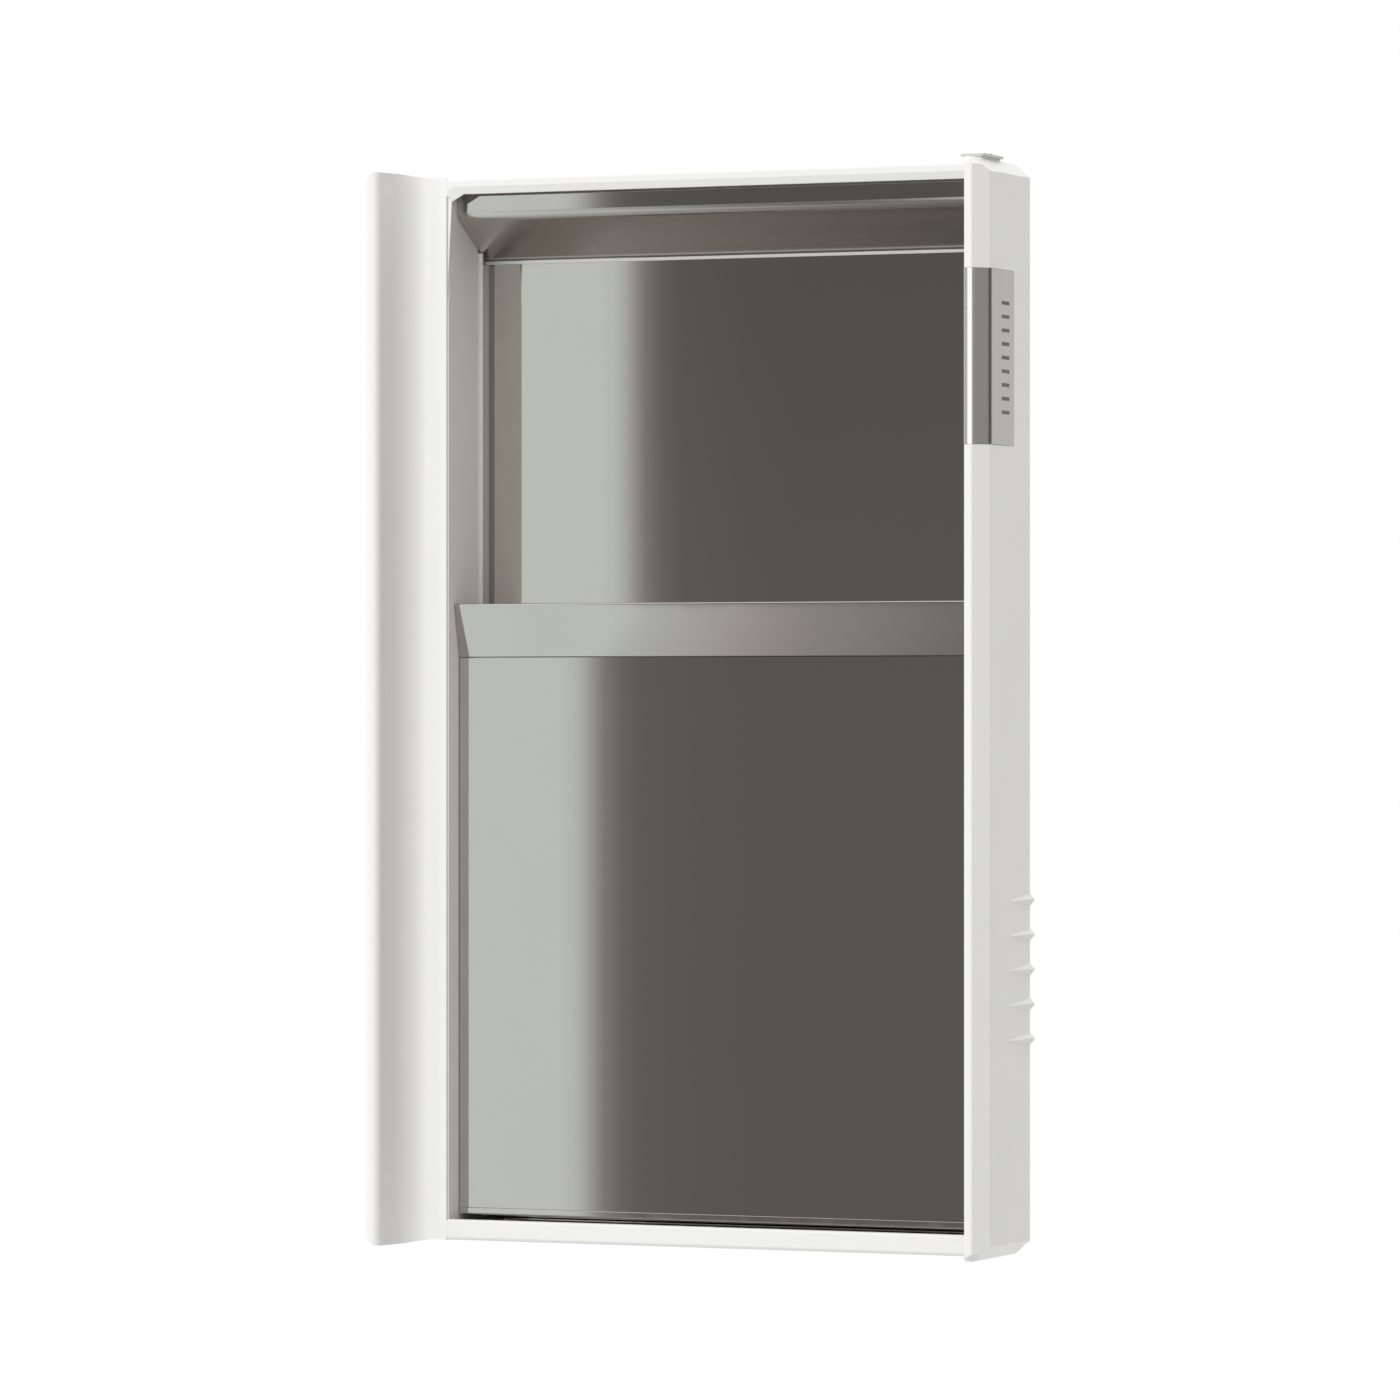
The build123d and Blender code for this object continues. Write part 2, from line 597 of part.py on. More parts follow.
def wall_screw_places():
    return [(x, height) for height in WALL_SCREW_HEIGHTS for x in (-WALL_SCREW_X, WALL_SCREW_X)]


def panel_screw_places():
    return [(x, height) for height in PANEL_SCREW_HEIGHTS for x in (PANEL_SCREW_LEFT, PANEL_SCREW_RIGHT)]


def back_panel():
    edge_x, edge_z = RIGHT - SHELL - PANEL_EDGE_GAP, RAIL_TOP - 3.0 - PANEL_EDGE_GAP
    corner = 3.0
    sheet = outline((-edge_x, -edge_z, corner), (edge_x, -edge_z, corner), (edge_x, edge_z, corner), (-edge_x, edge_z, corner))
    body = along_y(sheet, PANEL_FACE, PANEL_REAR)
    for x, height in wall_screw_places():
        body -= rod_y(WALL_SCREW_HOLE, PANEL_FACE - 1, 1, x, height)
    for x, height in panel_screw_places():
        body -= rod_y(PANEL_SCREW_RADIUS + LOOSE, PANEL_FACE - 1, 1, x, height)
    return body


def back_panel_screws():
    screws = []
    for x, height in panel_screw_places():
        head = rod_y(2.8, PANEL_REAR, PANEL_REAR + 1.8, x, height)
        screws.append(head + rod_y(PANEL_SCREW_RADIUS, PANEL_FACE - PANEL_SCREW_GRIP, PANEL_REAR, x, height))
    return group(screws)


def frame_screws():
    screws = []
    for height in FRAME_SCREW_HEIGHTS:
        for depth in FRAME_SCREW_DEPTHS:
            left = rod_x(3.2, OPEN_LEFT - SHELL - 2.2, OPEN_LEFT - SHELL, depth, height)
            screws.append(left + rod_x(FRAME_SCREW_RADIUS, OPEN_LEFT - SHELL, OPEN_LEFT + FRAME_SCREW_GRIP, depth, height))
            right = rod_x(3.2, OPEN_RIGHT + SHELL, OPEN_RIGHT + SHELL + 2.2, depth, height)
            screws.append(right + rod_x(FRAME_SCREW_RADIUS, OPEN_RIGHT - FRAME_SCREW_GRIP, OPEN_RIGHT + SHELL, depth, height))
    return group(screws)


def header_screws():
    screws = []
    for x in HEADER_SCREW_X:
        fold = RAIL_TOP - 3.0 - STEEL
        screws.append(rod_z(2.8, fold - 1.8, fold, x, HEADER_SCREW_Y)
                      + rod_z(HEADER_SCREW_RADIUS, fold, RAIL_TOP - 1.0, x, HEADER_SCREW_Y))
    return group(screws)


def wall_spacers():
    rings = [
        rod_y(9.0, PANEL_REAR, 0, x, height) - rod_y(WALL_SCREW_HOLE, PANEL_REAR - 1, 1, x, height)
        for x, height in wall_screw_places()
    ]
    return group(rings)


def wall_pads():
    return group([rod_y(8.0, PANEL_REAR, 0, x, 270.0) for x in (-WALL_SCREW_X, WALL_SCREW_X)])


# ---- niche mirror ----
GLASS_TOP = 283.0
GLASS_SIDE_GAP = 0.6


def niche_mirror():
    return block(WALL_LEFT + GLASS_SIDE_GAP, WALL_RIGHT - GLASS_SIDE_GAP, NICHE_GLASS_FACE,
                 NICHE_GLASS_FACE + GLASS_NICHE, NICHE_FLOOR + 0.2, GLASS_TOP)


def mirror_gasket():
    """Two foam strips between the side walls' flanges and the mirror."""
    y0, y1 = FLANGE_START + FLANGE_BEND + STEEL / 2, NICHE_GLASS_FACE
    wide = 2.2
    return group([
        block(WALL_LEFT, WALL_LEFT + wide, y0, y1, NICHE_FLOOR + 0.2, TRIM_LOW - 0.3),
        block(WALL_RIGHT - wide, WALL_RIGHT, y0, y1, NICHE_FLOOR + 0.2, TRIM_LOW - 0.3),
    ])


def mirror_trim():
    """White strip glued to the glass below the ceiling's rear edge."""
    gap = LINER_SIDE_GAP + 0.1
    return block(WALL_LEFT + gap, WALL_RIGHT - gap, NICHE_GLASS_FACE - 1.6, NICHE_GLASS_FACE, TRIM_LOW, TRIM_HIGH)


def mirror_backing():
    return block(WALL_LEFT + 1.2, WALL_RIGHT - 1.2, NICHE_GLASS_FACE + GLASS_NICHE, PANEL_FACE, NICHE_FLOOR + 1, GLASS_TOP - 2)


# ---- flap ----
def flap_tray():
    """Polished sheet behind the flap's glass. Its top edge stands forward as a leaning pull lip and its
    bottom edge is a thick hem with the pivot bores."""
    half = STEEL / 2
    lean = math.hypot(LIP_LEAN, LIP_TOP - LIP_FOOT)
    out_y, out_z = -LIP_LEAN / lean, (LIP_TOP - LIP_FOOT) / lean  # direction up the lip
    in_y, in_z = out_z, -out_y  # direction through the lip, front to back

    def on_lip(along, through):
        return (FLAP_FACE + out_y * along + in_y * through, LIP_FOOT + out_z * along + in_z * through)

    sheet_line = [(TRAY_FACE + half, HEM_TOP - 0.4), (TRAY_FACE + half, LIP_FOOT + 0.5), on_lip(0.45, half), on_lip(lean - 2, half)]
    sheet = folded(sheet_line, 0.45)
    fold_thick, fold_high = 1.9, 7.5
    top_fold = outline(
        on_lip(lean - fold_high, 0),
        on_lip(lean, 0) + (0.92,),
        on_lip(lean, fold_thick) + (0.92,),
        on_lip(lean - fold_high, fold_thick),
    )
    hem = outline(
        (FLAP_FACE - HEM_PROUD, HEM_BOTTOM, 1.3),
        (FLAP_FACE - HEM_PROUD, HEM_TOP, 0.5),
        (TRAY_REAR, HEM_TOP),
        (TRAY_REAR, HEM_BOTTOM, 1.3),
    )
    body = along_x(sheet, FLAP_LEFT, FLAP_RIGHT) + along_x(top_fold, FLAP_LEFT, FLAP_RIGHT)
    body += along_x(hem, FLAP_LEFT, FLAP_RIGHT)
    bore_long = 13.0
    body -= rod_x(PIVOT_RADIUS + RUNNING, FLAP_LEFT - 1, FLAP_LEFT + bore_long, PIVOT_Y, PIVOT_Z)
    body -= rod_x(PIVOT_RADIUS + RUNNING, FLAP_RIGHT - bore_long, FLAP_RIGHT + 1, PIVOT_Y, PIVOT_Z)
    return body


def flap_side(side, edge):
    """Stiffening bar on edge along the back of the tray. It carries a stay plate."""
    body = block(*sorted((edge, edge + side * SIDE_BAR)), TRAY_REAR, BAR_REAR, BAR_LOW, BAR_HIGH)
    for rivet in stay_rivet_rods(LOOSE):
        body -= rivet
    return body


def flap_mirror():
    return block(FLAP_LEFT + 0.1, FLAP_RIGHT - 0.1, FLAP_FACE, FLAP_FACE + GLASS_FLAP, HEM_TOP + 0.05, LIP_FOOT - 0.3)


def mirror_tape():
    middle = (FLAP_LEFT + FLAP_RIGHT) / 2
    return group([
        block(middle + shift - 10, middle + shift + 10, FLAP_FACE + GLASS_FLAP, TRAY_FACE, HEM_TOP + 8, LIP_FOOT - 6)
        for shift in (-150, 0, 150)
    ])


STAY_RIVET_HEIGHTS = (-266.0, -255.0)
STAY_RIVET_Y = -42.7
STAY_RIVET_RADIUS = 1.2


def stay_rivet_rods(extra, head=False):
    """Rivets through each stay plate and side bar; with head, their inner domes too."""
    rods = []
    for side, edge in ((1, FLAP_LEFT), (-1, FLAP_RIGHT)):
        inner = edge + side * (SIDE_BAR + STAY_THICK)
        for height in STAY_RIVET_HEIGHTS:
            rod = rod_x(STAY_RIVET_RADIUS + extra, *sorted((edge, inner)), STAY_RIVET_Y, height)
            if head:
                rod += rod_x(1.9, *sorted((inner, inner + side * 0.9)), STAY_RIVET_Y, height)
            rods.append(rod)
    return rods


def stay_plate(side, edge):
    """Quadrant with an arc slot about the pivot: its two ends stop the flap shut and fully open."""
    def turned(angle, radius):
        return (PIVOT_Y + radius * math.sin(math.radians(angle)), PIVOT_Z + radius * math.cos(math.radians(angle)))

    def arc_band(first, last, inner, outer):
        middle = (first + last) / 2
        edges = [
            ThreePointArc(turned(first, outer), turned(middle, outer), turned(last, outer)),
            Line(turned(last, outer), turned(last, inner)),
            ThreePointArc(turned(last, inner), turned(middle, inner), turned(first, inner)),
            Line(turned(first, inner), turned(first, outer)),
        ]
        return make_face(edges)

    first, last = STAY_FIRST_ANGLE, STAY_FIRST_ANGLE + FLAP_OPEN_ANGLE
    land = STAY_SLOT_HALF + STAY_LAND
    plate = arc_band(first, last, STAY_RADIUS - land, STAY_RADIUS + land)
    plate += Pos(*turned(last, STAY_RADIUS)) * Circle(land)
    plate += Pos(*turned(first, STAY_RADIUS)) * Circle(land)
    tab_front, tab_top = TRAY_REAR + 0.3, STAY_RIVET_HEIGHTS[1] + 6.5
    plate += outline((tab_front, STAY_PIN_Z), (BAR_REAR + 1.6, STAY_PIN_Z), (BAR_REAR + 0.2, tab_top, 1.5), (tab_front, tab_top, 1.5))
    plate -= outline((tab_front - 20, -400), (tab_front, -400), (tab_front, -200), (tab_front - 20, -200))
    slot = arc_band(first, last, STAY_RADIUS - STAY_SLOT_HALF, STAY_RADIUS + STAY_SLOT_HALF)
    slot += Pos(*turned(first, STAY_RADIUS)) * Circle(STAY_SLOT_HALF)
    slot += Pos(*turned(last, STAY_RADIUS)) * Circle(STAY_SLOT_HALF)
    inner = edge + side * SIDE_BAR
    body = along_x(plate - slot, *sorted((inner, inner + side * STAY_THICK)))
    for rivet in stay_rivet_rods(LOOSE):
        body -= rivet
    return body


def stay_rivets():
    return group(stay_rivet_rods(0, head=True))


STRIKE_LOW, STRIKE_HIGH = 12.5, 25.0


def strike_plate():
    return block(CATCH_X - CATCH_HALF + 2, CATCH_X + CATCH_HALF - 2, TRAY_REAR, TRAY_REAR + 1.0, STRIKE_LOW, STRIKE_HIGH)


# ---- pins, stay friction and catch ----
def pivot_pin(side, shell_face, recess_face):
    """Headed pin through the upright and the steel wall into the bore of the flap's hem."""
    head = rod_x(3.0, *sorted((shell_face - side * 1.5, shell_face)), PIVOT_Y, PIVOT_Z)
    tip = recess_face + side * 12.0
    return head + rod_x(PIVOT_RADIUS, *sorted((shell_face, tip)), PIVOT_Y, PIVOT_Z)


def stay_pin(side, shell_face, recess_face):
    """Headed pin that runs in the arc slot of the stay plate."""
    plate_face = recess_face + side * (FLAP_GAP + SIDE_BAR + STAY_THICK)
    rear_head = rod_x(3.4, *sorted((shell_face - side * 1.5, shell_face)), STAY_PIN_Y, STAY_PIN_Z)
    shaft = rod_x(STAY_PIN_RADIUS, *sorted((shell_face, plate_face + side * 0.4)), STAY_PIN_Y, STAY_PIN_Z)
    head = rod_x(3.2, *sorted((plate_face + side * 0.4, plate_face + side * 1.5)), STAY_PIN_Y, STAY_PIN_Z)
    return rear_head + shaft + head


def friction_washer(side, recess_face):
    thick = FLAP_GAP + SIDE_BAR - 0.3
    x0, x1 = sorted((recess_face, recess_face + side * thick))
    ring = rod_x(3.3, x0, x1, STAY_PIN_Y, STAY_PIN_Z)
    return ring - rod_x(STAY_PIN_RADIUS + LOOSE, x0 - 1, x1 + 1, STAY_PIN_Y, STAY_PIN_Z)


CATCH_LOW, CATCH_HIGH = 11.0, NICHE_FLOOR - STEEL
POLE_HALF, POLE_THICK = 13.0, 1.4
POLE_LOW = 13.5
MAGNET_HIGH = 6.0


def catch_slots():
    """Cavity of the catch: a magnet between two pole plates that show at the front."""
    return block(CATCH_X - POLE_HALF, CATCH_X + POLE_HALF, CATCH_Y0 - 1, CATCH_Y1 - 4, POLE_LOW, POLE_LOW + MAGNET_HIGH + 2 * POLE_THICK)


def catch_housing():
    body = block(CATCH_X - CATCH_HALF, CATCH_X + CATCH_HALF, CATCH_Y0, CATCH_Y1, CATCH_LOW, CATCH_HIGH)
    reach = CATCH_RIVET_REACH + 4.5
    body += block(CATCH_X - reach, CATCH_X + reach, CATCH_Y0 + 3, CATCH_Y1 - 3, CATCH_HIGH - 2.5, CATCH_HIGH)
    body -= catch_slots()
    for x in (CATCH_X - CATCH_RIVET_REACH, CATCH_X + CATCH_RIVET_REACH):
        body -= rod_z(1.5 + LOOSE, CATCH_HIGH - 4, CATCH_HIGH + 1, x, (CATCH_Y0 + CATCH_Y1) / 2)
    return body


def catch_magnet():
    low = POLE_LOW + POLE_THICK
    return block(CATCH_X - POLE_HALF + 1, CATCH_X + POLE_HALF - 1, CATCH_Y0 + 1, CATCH_Y1 - 5, low, low + MAGNET_HIGH)


def catch_pole_plates():
    front = TRAY_REAR + 1.0 + 0.35
    upper = POLE_LOW + POLE_THICK + MAGNET_HIGH
    return group([
        block(CATCH_X - POLE_HALF + 0.2, CATCH_X + POLE_HALF - 0.2, front, CATCH_Y1 - 4.5, low, low + POLE_THICK)
        for low in (POLE_LOW, upper)
    ])


def catch_rivets():
    rivets = []
    for x in (CATCH_X - CATCH_RIVET_REACH, CATCH_X + CATCH_RIVET_REACH):
        y = (CATCH_Y0 + CATCH_Y1) / 2
        shaft = rod_z(1.5, CATCH_HIGH - 2.5, NICHE_FLOOR, x, y)
        rivets.append(shaft + rod_z(2.8, NICHE_FLOOR, NICHE_FLOOR + 0.8, x, y) + rod_z(2.6, CATCH_HIGH - 3.3, CATCH_HIGH - 2.5, x, y))
    return group(rivets)


def flap_bumpers():
    """Rubber pads on the shelf's front flange that the closed flap stops against."""
    return group([
        block(x - 6, x + 6, TRAY_REAR + 0.35, -43.4, 26.4, 31.0) for x in (WALL_LEFT + 24, WALL_RIGHT - 24)
    ])


# ---- write every piece ----
LEFT_SHELL_FACE, RIGHT_SHELL_FACE = OPEN_LEFT - SHELL, OPEN_RIGHT + SHELL

PIECES = {
    "wing_column": wing_column,
    "top_rail": top_rail,
    "bottom_rail": bottom_rail,
    "grip_post": grip_post,
    "badge_clip": badge_clip,
    "clip_inlay": clip_inlay,
    "top_cover_plate": top_cover_plate,
    "cover_plate_screw": cover_plate_screw,
    "wall_left": wall_left,
    "wall_right": wall_right,
    "header_panel": header_panel,
    "niche_ceiling": niche_ceiling,
    "niche_shelf": niche_shelf,
    "compartment_floor": compartment_floor,
    "inner_shelf_upper": lambda: inner_shelf(SHELF_HEIGHTS[0]),
    "inner_shelf_lower": lambda: inner_shelf(SHELF_HEIGHTS[1]),
    "shelf_pins": shelf_pins,
    "back_panel": back_panel,
    "back_panel_screws": back_panel_screws,
    "frame_screws": frame_screws,
    "header_screws": header_screws,
    "wall_spacers": wall_spacers,
    "wall_pads": wall_pads,
    "niche_mirror": niche_mirror,
    "mirror_gasket": mirror_gasket,
    "mirror_trim": mirror_trim,
    "mirror_backing": mirror_backing,
    "flap_tray": flap_tray,
    "flap_mirror": flap_mirror,
    "mirror_tape": mirror_tape,
    "flap_side_left": lambda: flap_side(1, FLAP_LEFT),
    "flap_side_right": lambda: flap_side(-1, FLAP_RIGHT),
    "stay_plate_left": lambda: stay_plate(1, FLAP_LEFT),
    "stay_plate_right": lambda: stay_plate(-1, FLAP_RIGHT),
    "stay_rivets": stay_rivets,
    "strike_plate": strike_plate,
    "pivot_pin_left": lambda: pivot_pin(1, LEFT_SHELL_FACE, WALL_LEFT),
    "pivot_pin_right": lambda: pivot_pin(-1, RIGHT_SHELL_FACE, WALL_RIGHT),
    "stay_pin_left": lambda: stay_pin(1, LEFT_SHELL_FACE, WALL_LEFT),
    "stay_pin_right": lambda: stay_pin(-1, RIGHT_SHELL_FACE, WALL_RIGHT),
    "friction_washer_left": lambda: friction_washer(1, WALL_LEFT),
    "friction_washer_right": lambda: friction_washer(-1, WALL_RIGHT),
    "catch_housing": catch_housing,
    "catch_magnet": catch_magnet,
    "catch_pole_plates": catch_pole_plates,
    "catch_rivets": catch_rivets,
    "flap_bumpers": flap_bumpers,
}

os.makedirs("parts", exist_ok=True)
for name, make in PIECES.items():
    save(name, make())
    print("wrote", name)
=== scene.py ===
import json
import math

import bpy
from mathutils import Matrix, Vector


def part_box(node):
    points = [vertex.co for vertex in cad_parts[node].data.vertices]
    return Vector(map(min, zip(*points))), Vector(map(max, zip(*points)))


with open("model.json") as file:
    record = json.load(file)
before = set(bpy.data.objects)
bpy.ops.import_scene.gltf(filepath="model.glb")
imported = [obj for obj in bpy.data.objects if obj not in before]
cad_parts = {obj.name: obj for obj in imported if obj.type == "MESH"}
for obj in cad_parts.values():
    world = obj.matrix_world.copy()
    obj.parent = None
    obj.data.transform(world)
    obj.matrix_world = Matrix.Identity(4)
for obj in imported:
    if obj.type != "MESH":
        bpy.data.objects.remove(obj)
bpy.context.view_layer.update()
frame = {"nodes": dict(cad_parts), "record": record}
NODES = frame["nodes"]

# ---- where things are, from the CAD ----
WING_LOW, WING_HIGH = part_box("wing_column")
RAIL_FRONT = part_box("top_rail")[0].y
MIDDLE_Z = (WING_LOW.z + WING_HIGH.z) / 2

# ---- node helpers ----


def new_material(name):
    material = bpy.data.materials.new(name)
    material.use_nodes = True
    tree = material.node_tree
    shader = tree.nodes["Principled BSDF"]
    return material, tree, shader


def add(tree, kind, **settings):
    node = tree.nodes.new(kind)
    for key, value in settings.items():
        setattr(node, key, value)
    return node


def wire(tree, source, output, target, socket):
    tree.links.new(source.outputs[output], target.inputs[socket])


def coordinates(tree, scale=(1, 1, 1)):
    """Object coordinates, stretched: the CAD nodes all sit at the origin, so these are row coordinates."""
    where = add(tree, "ShaderNodeTexCoord")
    mapping = add(tree, "ShaderNodeMapping")
    mapping.inputs["Scale"].default_value = scale
    wire(tree, where, "Object", mapping, "Vector")
    return mapping


def noise(tree, mapping, scale, detail=3.0, rough=0.55):
    node = add(tree, "ShaderNodeTexNoise")
    node.inputs["Scale"].default_value = scale
    node.inputs["Detail"].default_value = detail
    node.inputs["Roughness"].default_value = rough
    wire(tree, mapping, "Vector", node, "Vector")
    return node


def ramp(tree, source, output, stops):
    """Colour ramp from (position, colour) stops."""
    node = add(tree, "ShaderNodeValToRGB")
    elements = node.color_ramp.elements
    while len(elements) < len(stops):
        elements.new(0.5)
    for element, (position, color) in zip(elements, stops):
        element.position = position
        element.color = color if len(color) == 4 else (*color, 1)
    wire(tree, source, output, node, "Fac")
    return node


def to_range(tree, source, output, low, high, from_low=0.3, from_high=0.7):
    node = add(tree, "ShaderNodeMapRange")
    node.inputs["From Min"].default_value = from_low
    node.inputs["From Max"].default_value = from_high
    node.inputs["To Min"].default_value = low
    node.inputs["To Max"].default_value = high
    wire(tree, source, output, node, "Value")
    return node


def bump(tree, shader, source, output, strength, distance):
    node = add(tree, "ShaderNodeBump")
    node.inputs["Strength"].default_value = strength
    node.inputs["Distance"].default_value = distance
    wire(tree, source, output, node, "Height")
    wire(tree, node, "Normal", shader, "Normal")


def grey(value, warm=0.0):
    return (value * (1 + warm), value, value * (1 - warm))


# ---- materials ----


def moulded(name, color, rough, vary=0.012, grain=0.000012):
    """White moulding or enamel: faint cloudiness, uneven gloss and a fine skin texture."""
    material, tree, shader = new_material(name)
    place = coordinates(tree)
    clouds = noise(tree, place, 9.0, 4.0)
    low = tuple(c * (1 - vary) for c in color)
    tint = ramp(tree, clouds, "Fac", [(0.35, low), (0.65, color)])
    wire(tree, tint, "Color", shader, "Base Color")
    gloss = to_range(tree, noise(tree, place, 38.0), "Fac", rough * 0.88, rough * 1.12)
    wire(tree, gloss, "Result", shader, "Roughness")
    bump(tree, shader, noise(tree, place, 2600.0, 2.0), "Fac", 0.35, grain)
    return material


def polished(name, color, rough=0.03, streak=(1.0, 1.0, 0.06), vary=0.03):
    """Mirror-polished sheet: a faint cloudiness in colour and gloss, drawn out along the rolling."""
    material, tree, shader = new_material(name)
    shader.inputs["Metallic"].default_value = 1.0
    place = coordinates(tree, streak)
    clouds = noise(tree, place, 14.0, 3.0)
    low = tuple(c * (1 - vary) for c in color)
    tint = ramp(tree, clouds, "Fac", [(0.3, low), (0.7, color)])
    wire(tree, tint, "Color", shader, "Base Color")
    gloss = to_range(tree, noise(tree, place, 60.0), "Fac", rough * 0.7, rough * 1.3)
    wire(tree, gloss, "Result", shader, "Roughness")
    return material


def satin_metal(name, color, rough, stretch, vary=0.12, grain=0.00002):
    """Brushed or plated steel: fine lines along the long way of the stretch, in colour and in relief."""
    material, tree, shader = new_material(name)
    shader.inputs["Metallic"].default_value = 1.0
    place = coordinates(tree, stretch)
    lines = noise(tree, place, 700.0, 4.0, 0.65)
    low = tuple(c * (1 - vary) for c in color)
    tint = ramp(tree, lines, "Fac", [(0.3, low), (0.7, color)])
    wire(tree, tint, "Color", shader, "Base Color")
    gloss = to_range(tree, noise(tree, place, 180.0), "Fac", rough * 0.8, rough * 1.25)
    wire(tree, gloss, "Result", shader, "Roughness")
    bump(tree, shader, lines, "Fac", 0.3, grain)
    return material


def galvanised(name):
    """Zinc-coated sheet with its spangle of crystals."""
    material, tree, shader = new_material(name)
    shader.inputs["Metallic"].default_value = 0.9
    place = coordinates(tree)
    crystals = add(tree, "ShaderNodeTexVoronoi")
    crystals.inputs["Scale"].default_value = 110.0
    wire(tree, place, "Vector", crystals, "Vector")
    tint = ramp(tree, crystals, "Color", [(0.1, (0.48, 0.495, 0.505)), (0.9, (0.58, 0.595, 0.605))])
    wire(tree, tint, "Color", shader, "Base Color")
    gloss = to_range(tree, crystals, "Color", 0.3, 0.5, 0.0, 1.0)
    wire(tree, gloss, "Result", shader, "Roughness")
    bump(tree, shader, noise(tree, place, 120.0), "Fac", 0.3, 0.00004)
    return material


def soft(name, color, rough, grain_scale, grain, vary=0.2):
    """Rubber, foam or sintered material: open grain in colour and relief."""
    material, tree, shader = new_material(name)
    place = coordinates(tree)
    grains = noise(tree, place, grain_scale, 5.0, 0.7)
    low = tuple(c * (1 - vary) for c in color)
    tint = ramp(tree, grains, "Fac", [(0.35, low), (0.65, color)])
    wire(tree, tint, "Color", shader, "Base Color")
    gloss = to_range(tree, grains, "Fac", rough * 0.85, min(1.0, rough * 1.1))
    wire(tree, gloss, "Result", shader, "Roughness")
    bump(tree, shader, grains, "Fac", 0.5, grain)
    return material


MIRROR_TINT = (0.545, 0.510, 0.475)
WHITE = (0.75, 0.75, 0.74)

MATERIALS = {
    "shell_white": moulded("moulded_white", WHITE, 0.32),
    # the rails' white is the shell's moulding painted a shade darker for their greyer fronts: painted shade
    "rail_white": moulded("moulded_white_painted_rail_shade", (0.73, 0.73, 0.715), 0.34),
    # the trim's white is painted much darker than the shell's white moulding: painted shade
    "trim_white": moulded("trim_white", (0.54, 0.54, 0.525), 0.25),
    "dark_enamel": moulded("dark_enamel", (0.085, 0.08, 0.075), 0.35),
    "liner_white": moulded("enamel_white", (0.76, 0.745, 0.725), 0.45),
    "clip_steel": satin_metal("saddle_steel", (0.58, 0.555, 0.525), 0.16, (1.0, 1.0, 0.02), 0.04, 0.000004),
    "polished_steel": polished("polished_sheet", MIRROR_TINT, 0.035),
    "back_zinc": galvanised("galvanised_sheet"),
    "fastener_steel": satin_metal("plated_fastener", (0.58, 0.58, 0.57), 0.3, (1.0, 1.0, 1.0)),
    "stay_steel": satin_metal("stamped_steel", (0.5, 0.5, 0.5), 0.33, (1.0, 1.0, 0.03)),
    "mirror_glass": polished("silvered_mirror", MIRROR_TINT, 0.012, (1.0, 1.0, 1.0), 0.01),
    "satin_steel": polished("ceiling_steel", (0.60, 0.57, 0.54), 0.2, (0.05, 1.0, 1.0)),
    # the foam tape in the pocket behind the mirror's flange is given a darker grey for the pocket's dark line:
    # partly its own grey, partly painted shade
    "grey_foam": soft("grey_foam", (0.50, 0.48, 0.46), 0.9, 1400.0, 0.0001, 0.06),
    "black_rubber": soft("black_rubber", (0.025, 0.025, 0.025), 0.75, 900.0, 0.00004),
    "tape_foam": soft("white_foam", (0.72, 0.71, 0.68), 0.9, 1400.0, 0.0001),
    "nylon_white": moulded("nylon", (0.78, 0.77, 0.73), 0.5),
    "ferrite": soft("ferrite", (0.05, 0.05, 0.055), 0.6, 1600.0, 0.00003),
}

for entry in frame["record"]["subparts"]:
    slots = NODES[entry["node"]].data.materials
    slots.clear()
    slots.append(MATERIALS[entry["material_slot"]])


# ---- stage: floor, reflected studio and light ----


def stage_plane(name, centre, across, up, material):
    """Flat sheet of the studio, spanned by two half-edge vectors."""
    centre, across, up = Vector(centre), Vector(across), Vector(up)
    corners = [centre - across - up, centre + across - up, centre + across + up, centre - across + up]
    mesh = bpy.data.meshes.new(name)
    mesh.from_pydata([tuple(c) for c in corners], [], [(0, 1, 2, 3)])
    mesh.materials.append(material)
    sheet = bpy.data.objects.new(name, mesh)
    bpy.context.scene.collection.objects.link(sheet)
    return sheet


def floor():
    """Plain pale matt floor, below the wall cabinet."""
    material, tree, shader = new_material("studio_floor")
    place = coordinates(tree)
    tint = ramp(tree, noise(tree, place, 2.0), "Fac", [(0.3, grey(0.80)), (0.7, grey(0.84))])
    wire(tree, tint, "Color", shader, "Base Color")
    shader.inputs["Roughness"].default_value = 0.8
    sheet = stage_plane("studio_floor", (0, -0.5, MIDDLE_Z - 1.3), (2.6, 0, 0), (0, 2.6, 0), material)
    sheet.visible_diffuse = False  # the light from below is the surround's, SOFT_BELOW


CARD_Y = -1.1
CARD_FOOT, CARD_TOP = MIDDLE_Z - 0.399, MIDDLE_Z + 0.75
CARD_LEFT_X, CARD_RIGHT_X = -1.6, -0.216
WHITE_GLOW = (0.945, 1.04, 1.02)
DARK_GLOW = (1.01, 1.0, 0.985)
DARK_TOP_LOSS = -0.17  # change of the dark side's brightness 40 cm above the middle

# painted reflection of the studio: its white fades into its dark side over 17 cm: (X, brightness)
CARD_EDGE = [
    (-0.571, 0.94), (-0.560, 0.87), (-0.550, 0.71), (-0.541, 0.50), (-0.533, 0.35),
    (-0.520, 0.25), (-0.503, 0.20), (-0.450, 0.18), (-0.400, 0.172),
]

# brightness of the painted reflection of the studio's ground, seen in the pull lip and the niche's ceiling, by
# X plus slant times Y
GROUND_Z = MIDDLE_Z - 0.79
GROUND_SLANT = -0.143
GROUND_FADE = [(-0.70, 0.95), (-0.67, 0.79), (-0.58, 0.60), (-0.50, 0.43), (-0.365, 0.30), (-0.22, 0.18)]


